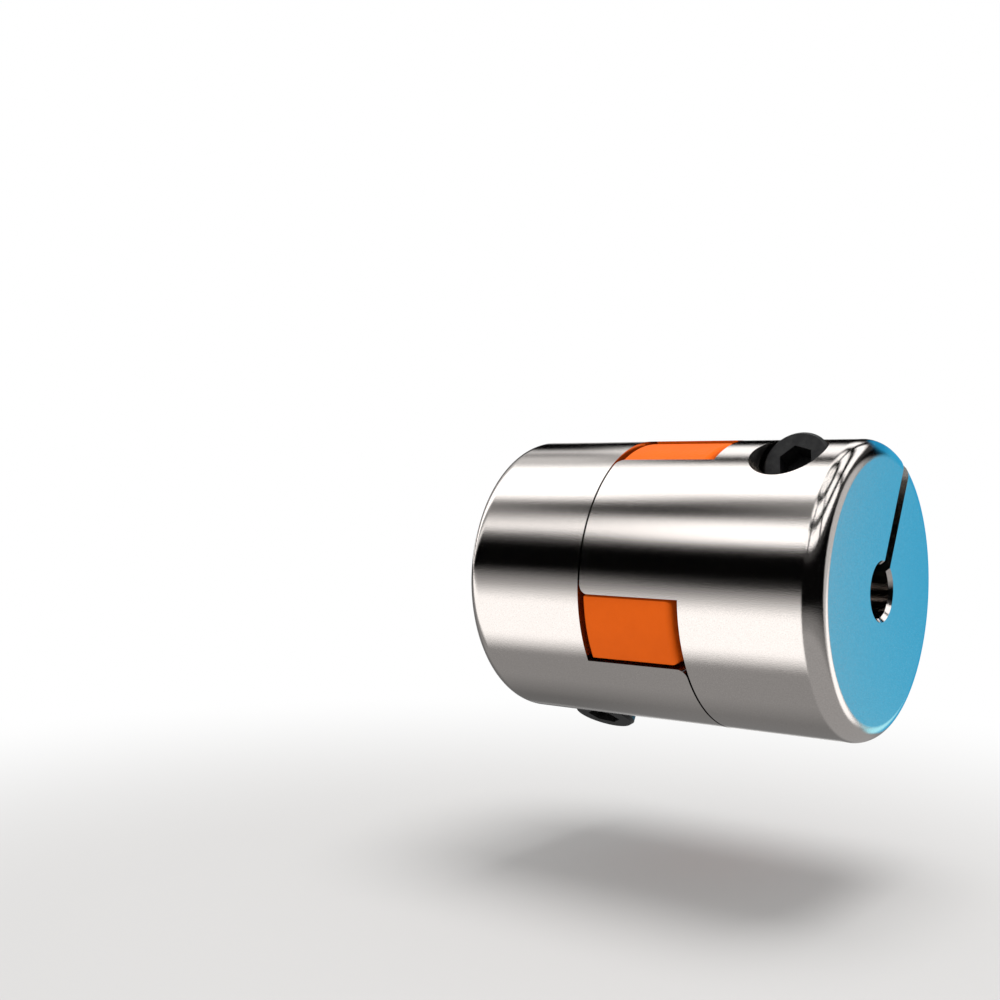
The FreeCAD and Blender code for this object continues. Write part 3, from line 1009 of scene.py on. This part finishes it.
@dataclass(frozen=True)
class ClampingHub:
    """A ground steel hub: a slit clamp ring that carries two claws with hollow flanks.

    On the bench its outer end face is at X 0, its claws point along X and stand at plus and minus
    Y, and its slit opens towards plus Z.

    Attributes:
        end: The end of the coupling that it is for.
        radius: Its outside radius.
        length: Its length without its claws.
        claw_tip: Where its claws end.
        end_rounding: The rounding round its end face.
        end_steps: How many flats it has.
        bore_chamfer: The chamfer at the mouth of its bore.
        claw_inner_radius: The claws' inside radius.
        claw_corner: The rounding between a claw's flank and its tip.
        corner_steps: How many flats it has.
        arm: The section of the star arms between its claws.
        slit_width: The clamp slit.
        head_radius: The pocket for the screw's head.
        shank_radius: The clearance hole from the head's seat to the slit.
        thread_radius: The threaded hole past the slit.
        thread_runout: How far that hole goes past the screw's tip.
    """

    end: End
    radius: float = 28 * MM
    length: float = 27 * MM
    claw_tip: float = 47.8 * MM
    end_rounding: float = 3.6 * MM
    end_steps: int = 24
    bore_chamfer: float = 0.7 * MM
    claw_inner_radius: float = 14 * MM
    claw_corner: float = 1.7 * MM
    corner_steps: int = 10
    arm: ArmSection = ArmSection()
    slit_width: float = 3 * MM
    head_radius: float = 7 * MM
    shank_radius: float = 4.5 * MM
    thread_radius: float = 4.1 * MM
    thread_runout: float = 1.5 * MM

    def make_claws(self, finish: bpy.types.Material) -> Solid:
        """Make the two claws, longer and wider than they end up, with their tips' roundings.

        Args:
            finish: Their finish.

        Returns:
            Both claws as one solid.
        """
        root, reach = self.length - PAST, self.radius + 3 * PAST
        low, high = Vector((root, -reach, -reach)), Vector((self.claw_tip, reach, reach))
        claws = Solid.block(low, high, finish)
        window = root - PAST, self.claw_tip + PAST
        near, far = self.arm.flank_centre()
        flank_radius = self.arm.crown_radius + self.arm.flank_gap
        for side in (far, -far):
            lens = Solid.bar(*window, flank_radius, finish, centre=(near, side))
            other = Solid.bar(*window, flank_radius, finish, centre=(-near, side))
            claws.work(Joining.CUT, lens.work(Joining.KEEP, other))
        claws.work(Joining.CUT, Solid.bar(*window, self.claw_inner_radius, finish))

        def is_flank(corner: Vector) -> bool:
            """Tell whether a corner is on a flank's edge at the tip."""
            across = math.hypot(abs(corner.y) + near, abs(corner.z) - far)
            return corner.x > self.claw_tip - NEAR and abs(across - flank_radius) < NEAR

        return claws.round_edges(
            lambda one, other: float(is_flank(one) and is_flank(other)),
            self.claw_corner,
            self.corner_steps,
        )

    def drill_clamp(self, hub: Solid, finish: bpy.types.Material) -> None:
        """Drill the screw's hole across the slit: thread, clearance hole and head pocket.

        Args:
            hub: The hub.
            finish: The hole's finish.
        """
        seat = self.end.seat
        foot = seat - self.end.screw_length - self.thread_runout
        centre = (self.end.clamp_station, self.end.clamp_offset)
        across = {"lie": Lie.Y, "centre": centre, "sides": SCREW_SIDES}
        for start, end, radius in (
            (foot, PAST, self.thread_radius),
            (0.0, seat + PAST, self.shank_radius),
            (seat, self.radius + PAST, self.head_radius),
        ):
            hub.work(Joining.CUT, Solid.bar(start, end, radius, finish, **across))

    def build(
        self, ground: bpy.types.Material, milled_and_shaded: bpy.types.Material, sawn_and_shaded: bpy.types.Material
    ) -> None:
        """Turn, mill, bore, slit and drill the hub.

        Args:
            ground: The finish of its outside and its bore.
            milled_and_shaded: The finish between its claws and in the screw's hole.
            sawn_and_shaded: The finish of its slit.
        """
        hub = Solid.bar(0.0, self.claw_tip + PAST, self.radius, ground)
        hub.round_edges(
            lambda one, other: float(max(one.x, other.x) < NEAR), self.end_rounding, self.end_steps
        )
        # The claws' gaps take the darker steel: painted shade between the claws.
        mill = Solid.bar(self.length, self.claw_tip + 3 * PAST, self.radius + PAST, milled_and_shaded)
        hub.work(Joining.CUT, mill.work(Joining.CUT, self.make_claws(milled_and_shaded)))
        bore, chamfer = self.end.bore, self.bore_chamfer
        hub.work(Joining.CUT, Solid.bar(-PAST, self.length + PAST, bore, ground, sides=ROUND_SIDES))
        mouth = (bore + chamfer + PAST, bore - PAST)
        taper = Solid.turned(-PAST, chamfer + PAST, mouth, ground, sides=ROUND_SIDES)
        hub.work(Joining.CUT, taper)
        low = Vector((-PAST, -self.slit_width / 2, 0.0))
        high = Vector((self.claw_tip, self.slit_width / 2, self.radius)) + Vector((PAST, 0.0, PAST))
        # The slit takes the darkest steel: painted shade inside the slit.
        hub.work(Joining.CUT, Solid.block(low, high, sawn_and_shaded))
        # The screw's hole takes the darker steel too: painted shade in the hole.
        self.drill_clamp(hub, milled_and_shaded)
        hub.settle(self.end.place())
        hub.hand_over(f"{self.end.name}_hub_steel", f"{self.end.name}_hub", "hub_steel")


@dataclass(frozen=True)
class ClampScrew:
    """A hexagon socket head cap screw; on the bench its head stands on Z 0 and points up.

    Attributes:
        end: The end of the coupling that it is for.
        head_radius: Its head's radius.
        head_height: Its head's height.
        head_chamfer: The chamfer round its head's top.
        radius: Its shank's radius.
        tip_chamfer: The chamfer at its tip.
        socket_radius: Its hexagon's radius at the corners.
        socket_depth: Its hexagon's depth.
        drill_point: The depth of the cone under the hexagon, as a share of its radius.
        socket_turn: Its hexagon's turn, in degrees.
        play: How far its head stands off its seat.
    """

    end: End
    head_radius: float = 6.5 * MM
    head_height: float = 8 * MM
    head_chamfer: float = 0.6 * MM
    radius: float = 4 * MM
    tip_chamfer: float = 1 * MM
    socket_radius: float = 3.464 * MM
    socket_depth: float = 4 * MM
    drill_point: float = 0.5
    socket_turn: float = 44.0
    play: float = 0.05 * MM

    def sink_socket(self, screw: Solid, finish: bpy.types.Material) -> None:
        """Sink the hexagon, and the cone that the drill before it left under it.

        Args:
            screw: The screw.
            finish: Its finish.
        """
        bottom, top = self.head_height - self.socket_depth, self.head_height + PAST
        flat = self.socket_radius * math.cos(math.radians(HALF_FLAT))
        point = bottom - flat * self.drill_point
        radii, drilled = (self.socket_radius, self.socket_radius), (NEAR, flat)
        for start, end, ends, sides in (
            (bottom, top, radii, HEXAGON_SIDES),
            (point, bottom + NEAR, drilled, DRILL_SIDES),
        ):
            tool = Solid.turned(start, end, ends, finish, lie=Lie.Z, sides=sides)
            screw.work(Joining.CUT, tool)

    def build(self, finish: bpy.types.Material) -> None:
        """Turn the head and the shank, and sink the socket.

        Args:
            finish: The screw's finish.
        """
        upright = {"lie": Lie.Z, "sides": SCREW_SIDES}
        screw = Solid.bar(0.0, self.head_height, self.head_radius, finish, **upright)
        screw.round_edges(
            lambda one, other: float(min(one.z, other.z) > self.head_height - NEAR),
            self.head_chamfer,
        )
        tip = -self.end.screw_length
        shank = Solid.bar(tip, PAST, self.radius, finish, **upright)
        shank.round_edges(
            lambda one, other: float(max(one.z, other.z) < tip + NEAR), self.tip_chamfer
        )
        screw.work(Joining.ADD, shank)
        self.sink_socket(screw, finish)
        seat = (self.end.clamp_station, self.end.seat + self.play, self.end.clamp_offset)
        screw.settle(
            self.end.place()
            @ Matrix.Translation(seat)
            @ Matrix.Rotation(-QUARTER_TURN, 4, "X")
            @ Matrix.Rotation(math.radians(self.socket_turn + HALF_FLAT), 4, "Z")
        )
        node = f"{self.end.name}_clamp_screw"
        screw.hand_over(f"{self.end.name}_cap_screw", node, "screw_steel")


@dataclass(frozen=True)
class ElastomerStar:
    """The four-armed elastomer star; on the bench it lies along X, with its arms on Y and Z.

    Attributes:
        start: Where it starts along the shafts.
        length: Its length.
        turn: Its turn about the shafts, in degrees.
        arms: How many arms it has.
        arm: The section of an arm.
        arm_radius: How far its arms reach.
        arm_rounding: The rounding of the arms' rims at the driven end.
        sharper: The share of that rounding at the driving end.
        rounding_steps: How many flats it has.
        core_radius: Its core's radius.
        core_bore: The radius of the hole through its core.
        web_recess: How far its core stands back from the arms' ends.
    """

    start: float = 14.35 * MM
    length: float = 18.5 * MM
    turn: float = 286.0
    arms: int = 4
    arm: ArmSection = ArmSection()
    arm_radius: float = 27.45 * MM
    arm_rounding: float = 1.2 * MM
    sharper: float = 0.225
    rounding_steps: int = 6
    core_radius: float = 13.5 * MM
    core_bore: float = 10 * MM
    web_recess: float = 0.2 * MM

    def make_round(
        self, radius: float, finish: bpy.types.Material, centre: tuple[float, float] = (0.0, 0.0)
    ) -> Solid:
        """Make a bar as long as the star, with rounded rims.

        Args:
            radius: Its radius.
            finish: Its finish.
            centre: Where its axis stands, on Y and Z.

        Returns:
            The bar.
        """
        bar = Solid.bar(0.0, self.length, radius, finish, centre=centre, sides=ROUND_SIDES)

        def weigh(one: Vector, other: Vector) -> float:
            """Give an edge its share of the rounding, from its two ends: none along the bar."""
            rim = 1.0 if one.x > self.length / 2 else self.sharper
            return 0.0 if abs(one.x - other.x) > NEAR else rim

        return bar.round_edges(weigh, self.arm_rounding, self.rounding_steps)

    def make_arm(self, finish: bpy.types.Material) -> Solid:
        """Mould one arm along Y: two crowned flanks and the outer round, with rounded rims.

        Args:
            finish: Its finish.

        Returns:
            The arm.
        """
        radius, station, drop = self.arm.crown_radius, self.arm.crown_station, self.arm.crown_drop()
        arm = self.make_round(radius, finish, (station, drop))
        arm.work(Joining.KEEP, self.make_round(radius, finish, (station, -drop)))
        arm.work(Joining.KEEP, self.make_round(self.arm_radius, finish))
        root = (self.core_radius + self.core_bore) / 2
        heart = Solid.bar(-PAST, self.length + PAST, root, finish, sides=HIDDEN_SIDES)
        return arm.work(Joining.CUT, heart)

    def build(self, finish: bpy.types.Material) -> None:
        """Mould the core with its four arms.

        Args:
            finish: The star's finish.
        """
        star = Solid.bar(self.web_recess, self.length - self.web_recess, self.core_radius, finish)
        arm = self.make_arm(finish)
        for number in range(1, self.arms):
            star.work(Joining.ADD, arm.copy(2 * math.pi * number / self.arms))
        star.work(Joining.ADD, arm)
        bore = Solid.bar(-PAST, self.length + PAST, self.core_bore, finish, sides=ROUND_SIDES)
        star.work(Joining.CUT, bore)
        star.settle(
            Matrix.Translation((self.start, 0.0, 0.0))
            @ Matrix.Rotation(math.radians(self.turn), 4, "X")
        )
        star.hand_over("polyurethane_star", "elastomer_star", "star_elastomer")


def main() -> None:
    """Set up the studio, then build every sub-assembly in order."""
    logging.basicConfig(level=logging.INFO, format="%(name)s: %(message)s")
    Studio().build()
    # The second steel is a darker copy of the ground one: painted shade between the claws and in
    # the screws' holes.
    # The third steel is a much darker copy of the ground one: painted shade inside the slits.
    ground, milled_and_shaded, sawn_and_shaded = Steel.ground().make(), Steel.milled_and_shaded().make(), Steel.sawn_and_shaded().make()
    black = BlackOxide().make()
    ends = (
        End(
            name="driving",
            face=-13.5 * MM,
            turns=((241, "X"),),
            bore=9.5 * MM,
            seat=16.9 * MM,
            screw_length=30 * MM,
        ),
        End(
            name="driven",
            face=61.7 * MM,
            turns=((-29, "X"), (180, "Z")),
            bore=5 * MM,
            seat=10.5 * MM,
            screw_length=25 * MM,
        ),
    )
    for end in ends:
        ClampingHub(end).build(ground, milled_and_shaded, sawn_and_shaded)
        ClampScrew(end).build(black)
    ElastomerStar().build(CastPolyurethane().make())


if __name__ == "__main__":
    main()
